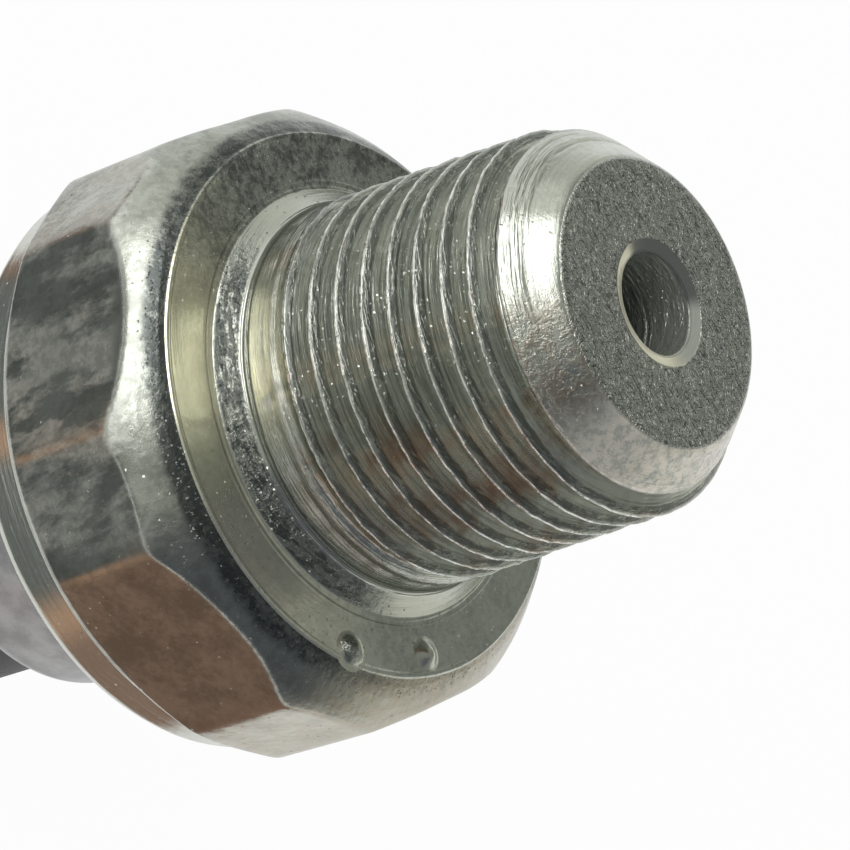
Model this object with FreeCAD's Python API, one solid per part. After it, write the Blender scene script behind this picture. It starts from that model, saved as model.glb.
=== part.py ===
import FreeCAD, Part
import math
import os

# Oil pressure sender with a tapered pipe thread, a hexagon for the wrench and a round three-way socket.
# The axis is Z: the threaded nose points up, the socket points down.
# The origin is on the axis, in the plane of the hexagon's front face.
# All sizes are millimetres.

# Threaded nose
PORT_LENGTH = 16.3            # hexagon's front face to the nose end
NOSE_CHAMFER_LENGTH = 2.6
NOSE_CHAMFER_DEPTH = 2.1      # crest radius less the radius of the nose's flat end
THREAD_END_RADIUS = 8.3       # crest radius that the taper has in the plane of the nose end
THREAD_TAPER = 1.0 / 32.0     # growth of the radius for each millimetre of length
THREAD_RUNOUT = 2.1           # plain land's end above the hexagon
LAND_STEP = 0.09              # land's radius under the last crest
FLARE_HEIGHT = 1.0            # cone between the land and the hexagon's face
FLARE_WIDTH = 1.05
BORE_RADIUS = 2.2
BORE_CHAMFER = 0.55

# Hexagon, with its corners cut to narrow flats
HEX_ACROSS_FLATS = 27.0
HEX_NARROW_FLAT = 5.3         # width of the flat that cuts each corner
HEX_FACE_STEP = 1.25          # wide flats to the outer edge of the front face
HEX_CHAMFER_HEIGHT = 2.4      # chamfer from the front face down to the corners
HEX_LENGTH = 7.7              # front face to the lower end of the corners
HEX_REAR_CHAMFER = 1.0

# Crimp skirt behind the hexagon
SKIRT_WALL = 1.4
FOLD_RADIUS = 1.2             # outer radius where the skirt is folded in
FOLD_THICKNESS = 0.9
FOLD_GAP = 1.4                # shell's bend to the inner edge of the folded lip

# Pocket for the sensing capsule
WEB_THICKNESS = 2.75          # steel between the front face and the seal recess
SEAL_LEDGE = 1.8              # ring that the capsule rests on, round the seal
SEAL_HEIGHT = 1.35            # seal's height when it is squeezed
SEAL_WIDTH = 1.85
SEAL_BEVEL = 0.4
SEAL_SIDE_CLEARANCE = 0.05
CAPSULE_RADIUS = 9.0
CAPSULE_CLEARANCE = 0.1
DIAPHRAGM_THICKNESS = 0.6
BOND_THICKNESS = 0.1
BOND_WIDTH = 2.5
SUBSTRATE_THICKNESS = 4.0

# Pieces that the skirt holds down
WASHER_THICKNESS = 0.65
GASKET_THICKNESS = 0.35
STACK_CLEARANCE = 0.1         # round the washer, the gasket and the shell's flange

# Drawn shell behind the skirt
SHELL_RADIUS = 8.4
SHELL_WALL = 0.6
SHELL_LENGTH = 10.0           # flange's rear face to the rolled end
SHELL_FLANGE_WIDTH = 3.4      # flange's rim outside the tube
SHELL_FLANGE_BEND = 0.8
SHELL_END_RADIUS = 1.2
SHELL_LIP_CLEARANCE = 0.15

# Circuit board and its ring
SPACER_HEIGHT = 2.7
SPACER_WALL = 1.1
SPACER_STEP = 0.9             # tube's bore to the ring's outside
SPACER_CLEARANCE = 0.1
BOARD_CLEARANCE = 0.5
BOARD_THICKNESS = 0.8
PIN_RADIUS = 0.3
PIN_EDGE_GAP = 1.55           # spacer ring's bore to the circle that the pins' axes stand on
PIN_DEPTH = 1.0               # socket of each pin in the substrate
PIN_STICKOUT = 0.5
HOLE_CLEARANCE = 0.05
CHIP_WIDTH = 3.2
CHIP_HEIGHT = 0.9
CHIP_EDGE_GAP = 1.1           # chip to the spacer ring's bore
CHIP_TAIL_GAP = 1.2           # chip to the middle terminal's tail
PASSIVE_LENGTH = 1.6          # capacitors and resistors
PASSIVE_WIDTH = 0.8
PASSIVE_PIN_GAP = 0.2         # capacitors and resistors to the sense pins, across the board
CAPACITOR_HEIGHT = 0.8
CAPACITOR_PITCH = 2.2
RESISTOR_HEIGHT = 0.45
RESISTOR_PITCH = 3.2

# Terminals
TERMINAL_COUNT = 3
TERMINAL_EDGE_GAP = 1.55      # outer blade's edge to the socket's wall
BLADE_WIDTH = 1.5
BLADE_THICKNESS = 0.64
BLADE_TIP_TAPER = 0.8
BLADE_TIP_WIDTH = 0.7
BLADE_LENGTH = 7.0            # length that stands in the socket
TAIL_WIDTH = 0.8
TAIL_STICKOUT = 0.5
SHOULDER_STEP = 0.3           # how far each shoulder stands out from the blade
SHOULDER_HEIGHT = 1.2

# Moulded connector insert
INSERT_CLEARANCE = 0.15
CHAMBER_HEIGHT = 3.1          # space behind the board for its components
CHAMBER_WALL = 1.05
INSERT_BEVEL = 0.6
NECK_STEP = 0.85              # insert's body to its neck
SOCKET_WALL = 1.2
SOCKET_FLOOR = 0.8            # floor's distance behind the shell's lip seat
POTTING_THICKNESS = 1.0
TIP_RECESS = 4.8              # blade tips to the mouth
MOUTH_CHAMFER = 0.4
KEY_WIDTH = 1.2
KEY_HEIGHT = 0.7
LATCH_WIDTH = 4.0
LATCH_HEIGHT = 1.1
LATCH_LENGTH = 3.5
LATCH_TOP = 0.5
LATCH_SETBACK = 4.7           # latch's steep side behind the shell's lip seat
POTTING_CLEARANCE = 0.02

# Ring that seals the insert in the shell
INSERT_SEAL_WIDTH = 1.5
INSERT_SEAL_GROOVE = 1.6
INSERT_SEAL_DEPTH = 1.05
INSERT_SEAL_SETBACK = 1.6     # groove's lower side above the insert's rear shoulder
INSERT_SEAL_CLEARANCE = 0.02

# Levels along the axis that follow from these sizes
recess_top = -WEB_THICKNESS
capsule_top = recess_top - SEAL_HEIGHT
bond_top = capsule_top - DIAPHRAGM_THICKNESS
substrate_top = bond_top - BOND_THICKNESS
ledge = substrate_top - SUBSTRATE_THICKNESS
washer_rear = ledge - WASHER_THICKNESS
gasket_rear = washer_rear - GASKET_THICKNESS
flange_rear = gasket_rear - SHELL_WALL
skirt_rear = flange_rear - FOLD_THICKNESS
shell_rear = flange_rear - SHELL_LENGTH
lip_seat = shell_rear + SHELL_WALL
board_front = ledge - SPACER_HEIGHT
board_rear = board_front - BOARD_THICKNESS
chamber_floor = board_rear - CHAMBER_HEIGHT
socket_floor = lip_seat - SOCKET_FLOOR
potting_rear = socket_floor - POTTING_THICKNESS
blade_tip = potting_rear - BLADE_LENGTH
mouth = blade_tip - TIP_RECESS

# Radii that follow from these sizes
nose_radius = THREAD_END_RADIUS - NOSE_CHAMFER_DEPTH
crest_bottom = THREAD_END_RADIUS + THREAD_TAPER * (PORT_LENGTH - THREAD_RUNOUT)
land_radius = crest_bottom - LAND_STEP
hex_apothem = HEX_ACROSS_FLATS / 2.0
hex_half_flat = hex_apothem * math.tan(math.radians(30)) - HEX_NARROW_FLAT / 2.0 / math.cos(math.radians(30))
hex_corner_radius = math.hypot(hex_apothem, hex_half_flat)
hex_face_radius = hex_apothem - HEX_FACE_STEP
stack_radius = SHELL_RADIUS + SHELL_FLANGE_WIDTH
skirt_bore_radius = stack_radius + STACK_CLEARANCE
skirt_radius = skirt_bore_radius + SKIRT_WALL
fold_edge_radius = SHELL_RADIUS + SHELL_FLANGE_BEND + FOLD_GAP
pocket_radius = CAPSULE_RADIUS + CAPSULE_CLEARANCE
seal_recess_radius = pocket_radius - SEAL_LEDGE
shell_bore_radius = SHELL_RADIUS - SHELL_WALL
insert_radius = shell_bore_radius - INSERT_CLEARANCE
neck_radius = insert_radius - NECK_STEP
lip_radius = neck_radius + SHELL_LIP_CLEARANCE
socket_radius = neck_radius - SOCKET_WALL
spacer_radius = shell_bore_radius - SPACER_STEP
washer_hole_radius = spacer_radius + SPACER_CLEARANCE
spacer_bore_radius = spacer_radius - SPACER_WALL
board_radius = shell_bore_radius - BOARD_CLEARANCE
pin_place = (spacer_bore_radius - PIN_EDGE_GAP) / math.sqrt(2)
chip_low = BLADE_THICKNESS / 2.0 + CHIP_TAIL_GAP
chip_high = spacer_bore_radius - CHIP_EDGE_GAP
passive_place = pin_place + PIN_RADIUS + PASSIVE_PIN_GAP + PASSIVE_WIDTH / 2.0
terminal_reach = socket_radius - TERMINAL_EDGE_GAP - BLADE_WIDTH / 2.0


def point(radius, height):
    """A point of a turned outline, in the XZ plane."""
    return FreeCAD.Vector(radius, 0, height)


def rounded_rear(radius, rear, round_radius):
    """Corners of an outer round at a rear end, in three straight steps that keep its facets few."""
    corners = []
    for degrees in (0, -30, -60, -90):
        angle = math.radians(degrees)
        across = radius - round_radius * (1 - math.cos(angle))
        along = rear + round_radius * (1 + math.sin(angle))
        corners.append((across, along))
    return corners


def turned(*corners):
    """A solid of revolution from the corners of its outline, each a radius and a height."""
    outline = [point(*corner) for corner in corners]
    face = Part.Face(Part.makePolygon(outline + [outline[0]]))
    return face.revolve(FreeCAD.Vector(0, 0, 0), FreeCAD.Vector(0, 0, 1), 360)


def ring(inner, outer, low, high):
    """A plain ring."""
    return turned((inner, low), (outer, low), (outer, high), (inner, high))


def disc(radius, low, high, x=0.0, y=0.0):
    """A plain cylinder that stands at a place in the XY plane."""
    return Part.makeCylinder(radius, high - low, FreeCAD.Vector(x, y, low))


def block(width, depth, low, high, x=0.0, y=0.0):
    """A plain block, centred at a place in the XY plane."""
    corner = FreeCAD.Vector(x - width / 2.0, y - depth / 2.0, low)
    return Part.makeBox(width, depth, high - low, corner)


def hex_prism(low, high):
    """Hexagon with wide flats at the wrench size and narrow flats across its corners."""
    corners = []
    for flat in range(6):
        turn = FreeCAD.Rotation(FreeCAD.Vector(0, 0, 1), 60 * flat)
        for side in (-hex_half_flat, hex_half_flat):
            corners.append(turn.multVec(FreeCAD.Vector(hex_apothem, side, low)))
    wire = Part.makePolygon(corners + [corners[0]])
    return Part.Face(wire).extrude(FreeCAD.Vector(0, 0, high - low))


def threaded_nose():
    """Nose from its end to the flare, with the thread as a plain cone at its crests."""
    crest_top = THREAD_END_RADIUS + THREAD_TAPER * NOSE_CHAMFER_LENGTH
    return turned(
        (0.0, PORT_LENGTH),
        (nose_radius, PORT_LENGTH),
        (crest_top, PORT_LENGTH - NOSE_CHAMFER_LENGTH),
        (crest_bottom, THREAD_RUNOUT),
        (land_radius, THREAD_RUNOUT - LAND_STEP),
        (land_radius, FLARE_HEIGHT),
        (land_radius + FLARE_WIDTH, 0.0),
        (land_radius + FLARE_WIDTH, recess_top),
        (0.0, recess_top),
    )


def hexagon():
    """Hexagon with a chamfer turned on its front and rear corners."""
    rear = -HEX_LENGTH - HEX_REAR_CHAMFER
    blank = turned(
        (0.0, 0.0),
        (hex_face_radius, 0.0),
        (hex_corner_radius, -HEX_CHAMFER_HEIGHT),
        (hex_corner_radius, -HEX_LENGTH),
        (hex_corner_radius - HEX_REAR_CHAMFER, rear),
        (0.0, rear),
    )
    return blank.common(hex_prism(rear, 0.0))


def crimp_skirt():
    """Round skirt behind the hexagon, folded in over the shell's flange."""
    return turned(
        (0.0, -HEX_LENGTH),
        (skirt_radius, -HEX_LENGTH),
        *rounded_rear(skirt_radius, skirt_rear, FOLD_RADIUS),
        (0.0, skirt_rear),
    )


def body_hollow():
    """Pressure bore with its chamfer, seal recess, capsule pocket and the room for the crimped stack."""
    return turned(
        (0.0, PORT_LENGTH),
        (BORE_RADIUS + BORE_CHAMFER, PORT_LENGTH),
        (BORE_RADIUS, PORT_LENGTH - BORE_CHAMFER),
        (BORE_RADIUS, recess_top),
        (seal_recess_radius, recess_top),
        (seal_recess_radius, capsule_top),
        (pocket_radius, capsule_top),
        (pocket_radius, ledge),
        (skirt_bore_radius, ledge),
        (skirt_bore_radius, flange_rear),
        (fold_edge_radius, flange_rear),
        (fold_edge_radius, skirt_rear),
        (0.0, skirt_rear),
    )


def port_body():
    """Nose, hexagon and skirt in one piece, bored from both ends."""
    solid = threaded_nose().fuse([hexagon(), crimp_skirt()]).removeSplitter()
    return solid.cut(body_hollow())


def squeezed_ring(inner, outer, low, high, bevel):
    """Rubber ring that is squeezed flat where it seals and keeps bevelled corners."""
    return turned(
        (inner + bevel, low),
        (outer - bevel, low),
        (outer, low + bevel),
        (outer, high - bevel),
        (outer - bevel, high),
        (inner + bevel, high),
        (inner, high - bevel),
        (inner, low + bevel),
    )


def pressure_seal():
    """Seal between the port and the capsule."""
    outer = seal_recess_radius - SEAL_SIDE_CLEARANCE
    return squeezed_ring(outer - SEAL_WIDTH, outer, capsule_top, recess_top, SEAL_BEVEL)


def sensor_diaphragm():
    """Thin plate that the oil bends."""
    return disc(CAPSULE_RADIUS, bond_top, capsule_top)


def bond_ring():
    """Glass frit that joins the diaphragm to the substrate and keeps a gap behind it."""
    return ring(CAPSULE_RADIUS - BOND_WIDTH, CAPSULE_RADIUS, substrate_top, bond_top)


def pin_places():
    """Corners of the square that the sense pins stand on."""
    near, far = -pin_place, pin_place
    return [(far, far), (near, far), (near, near), (far, near)]


def sensor_substrate():
    """Thick plate behind the diaphragm, with a socket for each sense pin."""
    plate = disc(CAPSULE_RADIUS, ledge, substrate_top)
    for x, y in pin_places():
        plate = plate.cut(disc(PIN_RADIUS + HOLE_CLEARANCE, ledge, ledge + PIN_DEPTH, x, y))
    return plate


def sense_pin(x, y):
    """Wire pin from the capsule through the circuit board."""
    return disc(PIN_RADIUS, board_rear - PIN_STICKOUT, ledge + PIN_DEPTH, x, y)


def backing_washer():
    """Steel washer that carries the crimp's force to the capsule."""
    return ring(washer_hole_radius, stack_radius, washer_rear, ledge)


def flange_gasket():
    """Flat gasket under the shell's flange."""
    inner = SHELL_RADIUS + SHELL_FLANGE_BEND
    return ring(inner, stack_radius, gasket_rear, washer_rear)


def connector_shell():
    """Drawn tube with a flange at its front and a rolled lip at its rear; its inner bends are bevels."""
    end_bevel = SHELL_END_RADIUS - SHELL_WALL
    front_bevel = SHELL_FLANGE_BEND + SHELL_WALL / 2.0
    return turned(
        (stack_radius, gasket_rear),
        (stack_radius, flange_rear),
        (SHELL_RADIUS + SHELL_FLANGE_BEND, flange_rear),
        (SHELL_RADIUS, flange_rear - SHELL_FLANGE_BEND),
        *rounded_rear(SHELL_RADIUS, shell_rear, SHELL_END_RADIUS),
        (lip_radius, shell_rear),
        (lip_radius, lip_seat),
        (shell_bore_radius - end_bevel, lip_seat),
        (shell_bore_radius, lip_seat + end_bevel),
        (shell_bore_radius, gasket_rear - front_bevel),
        (shell_bore_radius + front_bevel, gasket_rear),
    )


def spacer_ring():
    """Plastic ring that holds the board off the capsule."""
    return ring(spacer_bore_radius, spacer_radius, board_front, ledge)


def terminal_places():
    """Places of the terminals along X."""
    pitch = 2 * terminal_reach / (TERMINAL_COUNT - 1)
    return [pitch * index - terminal_reach for index in range(TERMINAL_COUNT)]


def circuit_board():
    """Round board with holes for the sense pins and slots for the terminals' tails."""
    board = disc(board_radius, board_rear, board_front)
    for x, y in pin_places():
        board = board.cut(disc(PIN_RADIUS + HOLE_CLEARANCE, board_rear, board_front, x, y))
    width = TAIL_WIDTH + 2 * HOLE_CLEARANCE
    depth = BLADE_THICKNESS + 2 * HOLE_CLEARANCE
    for x in terminal_places():
        board = board.cut(block(width, depth, board_rear, board_front, x))
    return board


def signal_chip():
    """Amplifier chip on the board's front."""
    middle = (chip_low + chip_high) / 2.0
    return block(CHIP_WIDTH, chip_high - chip_low, board_front, board_front + CHIP_HEIGHT, 0.0, middle)


def capacitor(x):
    """Chip capacitor on the board's rear."""
    return block(PASSIVE_LENGTH, PASSIVE_WIDTH, board_rear - CAPACITOR_HEIGHT, board_rear, x, -passive_place)


def resistor(x):
    """Chip resistor on the board's rear."""
    return block(PASSIVE_LENGTH, PASSIVE_WIDTH, board_rear - RESISTOR_HEIGHT, board_rear, x, passive_place)


def terminal(x):
    """Stamped blade: tail through the board, shoulders on the insert's floor, tapered tip."""
    tail_top = board_front + TAIL_STICKOUT
    shoulder_top = chamber_floor + SHOULDER_HEIGHT
    shoulder = BLADE_WIDTH / 2.0 + SHOULDER_STEP
    half_outline = [
        (TAIL_WIDTH / 2.0, tail_top),
        (TAIL_WIDTH / 2.0, shoulder_top),
        (shoulder, shoulder_top),
        (shoulder, chamber_floor),
        (BLADE_WIDTH / 2.0, chamber_floor),
        (BLADE_WIDTH / 2.0, blade_tip + BLADE_TIP_TAPER),
        (BLADE_TIP_WIDTH / 2.0, blade_tip),
    ]
    other_half = [(-half, height) for half, height in reversed(half_outline)]
    front = -BLADE_THICKNESS / 2.0
    corners = [FreeCAD.Vector(x + across, front, height) for across, height in half_outline + other_half]
    face = Part.Face(Part.makePolygon(corners + [corners[0]]))
    return face.extrude(FreeCAD.Vector(0, BLADE_THICKNESS, 0))


def latch_ramp():
    """Wedge on the neck that a harness clip snaps over: steep side to the shell, slope to the mouth."""
    root = socket_radius + SOCKET_WALL / 2.0
    crest = neck_radius + LATCH_HEIGHT
    start = lip_seat - LATCH_SETBACK
    outline = [
        (root, start),
        (crest, start),
        (crest, start - LATCH_TOP),
        (neck_radius, start - LATCH_LENGTH),
        (root, start - LATCH_LENGTH),
    ]
    corners = [FreeCAD.Vector(-LATCH_WIDTH / 2.0, y, z) for y, z in outline]
    face = Part.Face(Part.makePolygon(corners + [corners[0]]))
    return face.extrude(FreeCAD.Vector(LATCH_WIDTH, 0, 0))


def key_rib():
    """Rib inside the socket that lets the harness plug in one way round."""
    root = socket_radius + SOCKET_WALL / 2.0
    inner = socket_radius - KEY_HEIGHT
    return block(KEY_WIDTH, root - inner, mouth + TIP_RECESS / 2.0, socket_floor, 0.0, -(root + inner) / 2.0)


def connector_insert():
    """Moulded piece: chamber behind the board, seal groove, shoulder under the lip, round socket."""
    chamber_radius = insert_radius - CHAMBER_WALL
    groove_low = lip_seat + INSERT_SEAL_SETBACK
    groove_high = groove_low + INSERT_SEAL_GROOVE
    groove_radius = insert_radius - INSERT_SEAL_DEPTH
    moulding = turned(
        (0.0, chamber_floor),
        (chamber_radius, chamber_floor),
        (chamber_radius, board_rear),
        (insert_radius, board_rear),
        (insert_radius, groove_high),
        (groove_radius, groove_high),
        (groove_radius, groove_low),
        (insert_radius, groove_low),
        (insert_radius, lip_seat + INSERT_BEVEL),
        (insert_radius - INSERT_BEVEL, lip_seat),
        (neck_radius, lip_seat),
        (neck_radius, mouth + MOUTH_CHAMFER),
        (neck_radius - MOUTH_CHAMFER, mouth),
        (socket_radius + MOUTH_CHAMFER, mouth),
        (socket_radius, mouth + MOUTH_CHAMFER),
        (socket_radius, socket_floor),
        (0.0, socket_floor),
    )
    moulding = moulding.fuse([latch_ramp(), key_rib()]).removeSplitter()
    width = BLADE_WIDTH + 2 * HOLE_CLEARANCE
    depth = BLADE_THICKNESS + 2 * HOLE_CLEARANCE
    for x in terminal_places():
        moulding = moulding.cut(block(width, depth, socket_floor, chamber_floor, x))
    return moulding


def insert_seal():
    """Rubber ring in the insert's groove, squeezed against the shell."""
    low = lip_seat + INSERT_SEAL_SETBACK + (INSERT_SEAL_GROOVE - INSERT_SEAL_WIDTH) / 2.0
    inner = insert_radius - INSERT_SEAL_DEPTH + INSERT_SEAL_CLEARANCE
    outer = shell_bore_radius - INSERT_SEAL_CLEARANCE
    return squeezed_ring(inner, outer, low, low + INSERT_SEAL_WIDTH, SEAL_BEVEL)


def terminal_potting():
    """Epoxy poured on the socket's floor, round the blades and the key rib."""
    layer = disc(socket_radius - POTTING_CLEARANCE, potting_rear, socket_floor)
    width = BLADE_WIDTH + 2 * POTTING_CLEARANCE
    depth = BLADE_THICKNESS + 2 * POTTING_CLEARANCE
    for x in terminal_places():
        layer = layer.cut(block(width, depth, potting_rear, socket_floor, x))
    rib_width = KEY_WIDTH + 2 * POTTING_CLEARANCE
    rib_depth = 2 * (KEY_HEIGHT + POTTING_CLEARANCE)
    return layer.cut(block(rib_width, rib_depth, potting_rear, socket_floor, 0.0, -socket_radius))


def all_pieces():
    """Each piece by its name."""
    pieces = {
        "port_body": port_body(),
        "pressure_seal": pressure_seal(),
        "sensor_diaphragm": sensor_diaphragm(),
        "bond_ring": bond_ring(),
        "sensor_substrate": sensor_substrate(),
        "backing_washer": backing_washer(),
        "flange_gasket": flange_gasket(),
        "connector_shell": connector_shell(),
        "spacer_ring": spacer_ring(),
        "circuit_board": circuit_board(),
        "signal_chip": signal_chip(),
        "connector_insert": connector_insert(),
        "insert_seal": insert_seal(),
        "terminal_potting": terminal_potting(),
    }
    for number, (x, y) in enumerate(pin_places(), start=1):
        pieces["sense_pin_" + str(number)] = sense_pin(x, y)
    for number, x in enumerate((-CAPACITOR_PITCH, 0.0, CAPACITOR_PITCH), start=1):
        pieces["capacitor_" + str(number)] = capacitor(x)
    for number, x in enumerate((-RESISTOR_PITCH / 2.0, RESISTOR_PITCH / 2.0), start=1):
        pieces["resistor_" + str(number)] = resistor(x)
    for number, x in enumerate(terminal_places(), start=1):
        pieces["terminal_" + str(number)] = terminal(x)
    return pieces


os.makedirs("parts", exist_ok=True)
for name, shape in all_pieces().items():
    shape.exportStep("parts/" + name + ".step")
    print(name, shape.isValid(), len(shape.Solids), round(shape.Volume, 3))
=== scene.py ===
import math
import bmesh
import bpy
import numpy as np
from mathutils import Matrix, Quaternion, Vector


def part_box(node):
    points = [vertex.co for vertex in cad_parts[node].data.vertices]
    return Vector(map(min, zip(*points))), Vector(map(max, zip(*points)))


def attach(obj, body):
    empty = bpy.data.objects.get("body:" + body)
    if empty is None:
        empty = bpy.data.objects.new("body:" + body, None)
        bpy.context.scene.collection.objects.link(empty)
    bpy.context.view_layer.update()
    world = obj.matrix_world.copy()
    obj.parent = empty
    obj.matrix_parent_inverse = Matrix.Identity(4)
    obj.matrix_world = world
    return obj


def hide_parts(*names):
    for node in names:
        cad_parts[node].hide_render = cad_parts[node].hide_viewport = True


# Looks of an oil pressure sender: a zinc-plated hexagon body with a tapered pipe thread, a bright
# drawn shell behind it and a black round socket with three blades. The nose points up, along +Z.
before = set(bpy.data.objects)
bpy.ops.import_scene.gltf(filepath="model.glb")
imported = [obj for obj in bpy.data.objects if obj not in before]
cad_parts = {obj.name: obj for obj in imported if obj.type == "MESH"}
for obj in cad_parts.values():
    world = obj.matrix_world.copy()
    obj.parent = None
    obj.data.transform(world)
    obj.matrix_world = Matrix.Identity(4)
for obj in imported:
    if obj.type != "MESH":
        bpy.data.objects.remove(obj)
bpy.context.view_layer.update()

# Port body: forged and turned in one piece of steel, with a right-hand tapered pipe thread on the
# nose, a hexagon with cut corners and two round pips on its face, and a thin skirt folded over the
# shell's flange. It is zinc plated, dull, grainy and stained, with a painted sheen, painted shade
# and painted reflections on some sides.
MM = 0.001
TAU = 2 * math.pi
body_low, body_high = [np.array(corner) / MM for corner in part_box("port_body")]
nose_end = body_high[2]
skirt_rear = body_low[2]
hex_apothem = body_high[0]
narrow_apothem = body_high[1]
BORE_RADIUS = 2.2
BORE_CHAMFER = 0.55
BORE_CHAMFER_DEPTH = 0.2
RIM_RADIUS = BORE_RADIUS + BORE_CHAMFER
NOSE_CHAMFER_LENGTH = 2.6
NOSE_CHAMFER_DEPTH = 2.1
THREAD_END_RADIUS = 8.3
THREAD_TAPER = 1 / 32
THREAD_PITCH = 25.4 / 18
THREAD_DEPTH = 1.1
THREAD_LOW = 2.1
THREAD_FULL = 4.3
THREAD_HIGH = nose_end - 1.05
CREST_FLAT = 0.07
CREST_WEAR = 0.02
CREST_PLACE = (math.radians(-119.4), 4.67)
LAND_STEP = 0.09
LAND_LOW = 1.0
FLARE_WIDTH = 1.05
FACE_STEP = 1.25
DOME_HEIGHT = 2.4
DOME_CROWN = 0.38
HEX_LENGTH = 7.7
HEX_CORNER_RADIUS = 14.306
FORGED_WAVES = 0.05
SKIRT_RADIUS = 13.3
SKIRT_FOLD = 1.2
WEB_REAR = -2.75
CAPSULE_TOP = -4.1
LEDGE = -8.8
FLANGE_REAR = -10.4
POCKET_RADIUS = 9.1
SEAL_RECESS_RADIUS = 7.3
SKIRT_BORE_RADIUS = 11.9
FOLD_EDGE_RADIUS = 10.6
MERGE = 0.002 * MM


def piece_from_grid(name, points):
    """A smooth mesh in metres from a grid of points in millimetres, rows by columns by XYZ. Four
    neighbours make a face, and points that fall together are merged, at seams and poles too."""
    rows, columns = points.shape[:2]
    index = np.arange(rows * columns).reshape(rows, columns)
    faces = np.stack([index[:-1, :-1], index[:-1, 1:], index[1:, 1:], index[1:, :-1]], axis=-1)
    mesh = bpy.data.meshes.new(name)
    mesh.from_pydata(points.reshape(-1, 3) * MM, [], faces.reshape(-1, 4))
    shell = bmesh.new()
    shell.from_mesh(mesh)
    bmesh.ops.remove_doubles(shell, verts=shell.verts, dist=MERGE)
    bmesh.ops.dissolve_degenerate(shell, edges=shell.edges, dist=MERGE)
    bmesh.ops.recalc_face_normals(shell, faces=shell.faces)
    shell.to_mesh(mesh)
    shell.free()
    mesh.shade_smooth()
    piece = bpy.data.objects.new(name, mesh)
    bpy.context.scene.collection.objects.link(piece)
    return piece


def softened(corners, columns, steps=4):
    """Rows of an outline with rounded corners, as rows by columns by (radius, height). A corner is a
    radius, a height and a reach, each a number or one value for each column. Round a corner the
    rows run from t = 0 to 1 as (1 - t)^2 before + 2 t (1 - t) corner + t^2 after, where before and
    after lie on its two sides, one reach away. The first and the last corner stay sharp."""
    placed = np.array([[np.broadcast_to(value, columns) for value in corner] for corner in corners])
    places = placed[:, :2].transpose(0, 2, 1)
    reach = placed[1:-1, 2, :, None]
    middle = places[1:-1]
    back = places[:-2] - middle
    onward = places[2:] - middle
    before = middle + reach * back / np.linalg.norm(back, axis=-1, keepdims=True)
    after = middle + reach * onward / np.linalg.norm(onward, axis=-1, keepdims=True)
    t = np.linspace(0, 1, steps)[None, :, None, None]
    rounds = (1 - t) ** 2 * before[:, None] + 2 * t * (1 - t) * middle[:, None] + t ** 2 * after[:, None]
    return np.concatenate([places[:1], rounds.reshape(-1, columns, 2), places[-1:]])


def turned(outline, angles):
    """Points of an outline carried round the axis: (radius cos angle, radius sin angle, height)."""
    radius, height = outline[..., 0], outline[..., 1]
    points = np.broadcast_arrays(radius * np.cos(angles), radius * np.sin(angles), height)
    return np.stack(points, axis=-1)


def full_turn(columns):
    """Evenly spaced angles of one turn, with the first and the last on the seam."""
    return np.linspace(0, TAU, columns + 1)


def eased(value, low, high):
    """0 below low, 1 above high and 3 t^2 - 2 t^3 between them."""
    t = np.clip((value - low) / (high - low), 0, 1)
    return t * t * (3 - 2 * t)


def uneven(points, size, height, seed, waves=24):
    """Low waves over an array of points: the mean of sines of the points along random directions,
    with wavelengths about as long as size and a total about as high as height."""
    draw = np.random.default_rng(seed)
    along = draw.normal(size=(waves, 3))
    along *= TAU / size * draw.uniform(0.6, 1.7, (waves, 1)) / np.linalg.norm(along, axis=1, keepdims=True)
    return height * np.sin(points @ along.T + draw.uniform(0, TAU, waves)).mean(-1) * math.sqrt(waves)


EDGE_ANGLE = math.degrees(math.acos(hex_apothem / HEX_CORNER_RADIUS))
EDGE_OFFSETS = np.array([-2.4, -1.7, -1.1, -0.6, -0.2, 0.2, 0.6, 1.1, 1.7, 2.4])
EDGE_SIDE = 3.2
wide_flat = np.linspace(-EDGE_ANGLE + EDGE_SIDE, EDGE_ANGLE - EDGE_SIDE, 15)
narrow_flat = np.linspace(EDGE_ANGLE + EDGE_SIDE, 60 - EDGE_ANGLE - EDGE_SIDE, 7)
sector = np.concatenate([wide_flat, EDGE_ANGLE + EDGE_OFFSETS, narrow_flat, 60 - EDGE_ANGLE + EDGE_OFFSETS])
body_angles = np.radians(np.concatenate([sector + 60 * turn for turn in range(6)] + [[sector[0] + 360]]))


def facet_radius(angles):
    """Radius of the cut-corner hexagon at each angle: apothem / cos(angle from the flat's middle) for
    the wide and the narrow flats, joined by a soft minimum, -s ln(e^(-wide/s) + e^(-narrow/s))."""
    soft = 0.1
    sixth = TAU / 6
    from_wide = (angles + sixth / 2) % sixth - sixth / 2
    from_narrow = angles % sixth - sixth / 2
    wide = hex_apothem / np.cos(from_wide)
    narrow = narrow_apothem / np.cos(from_narrow)
    return -soft * np.logaddexp(-wide / soft, -narrow / soft)


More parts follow.
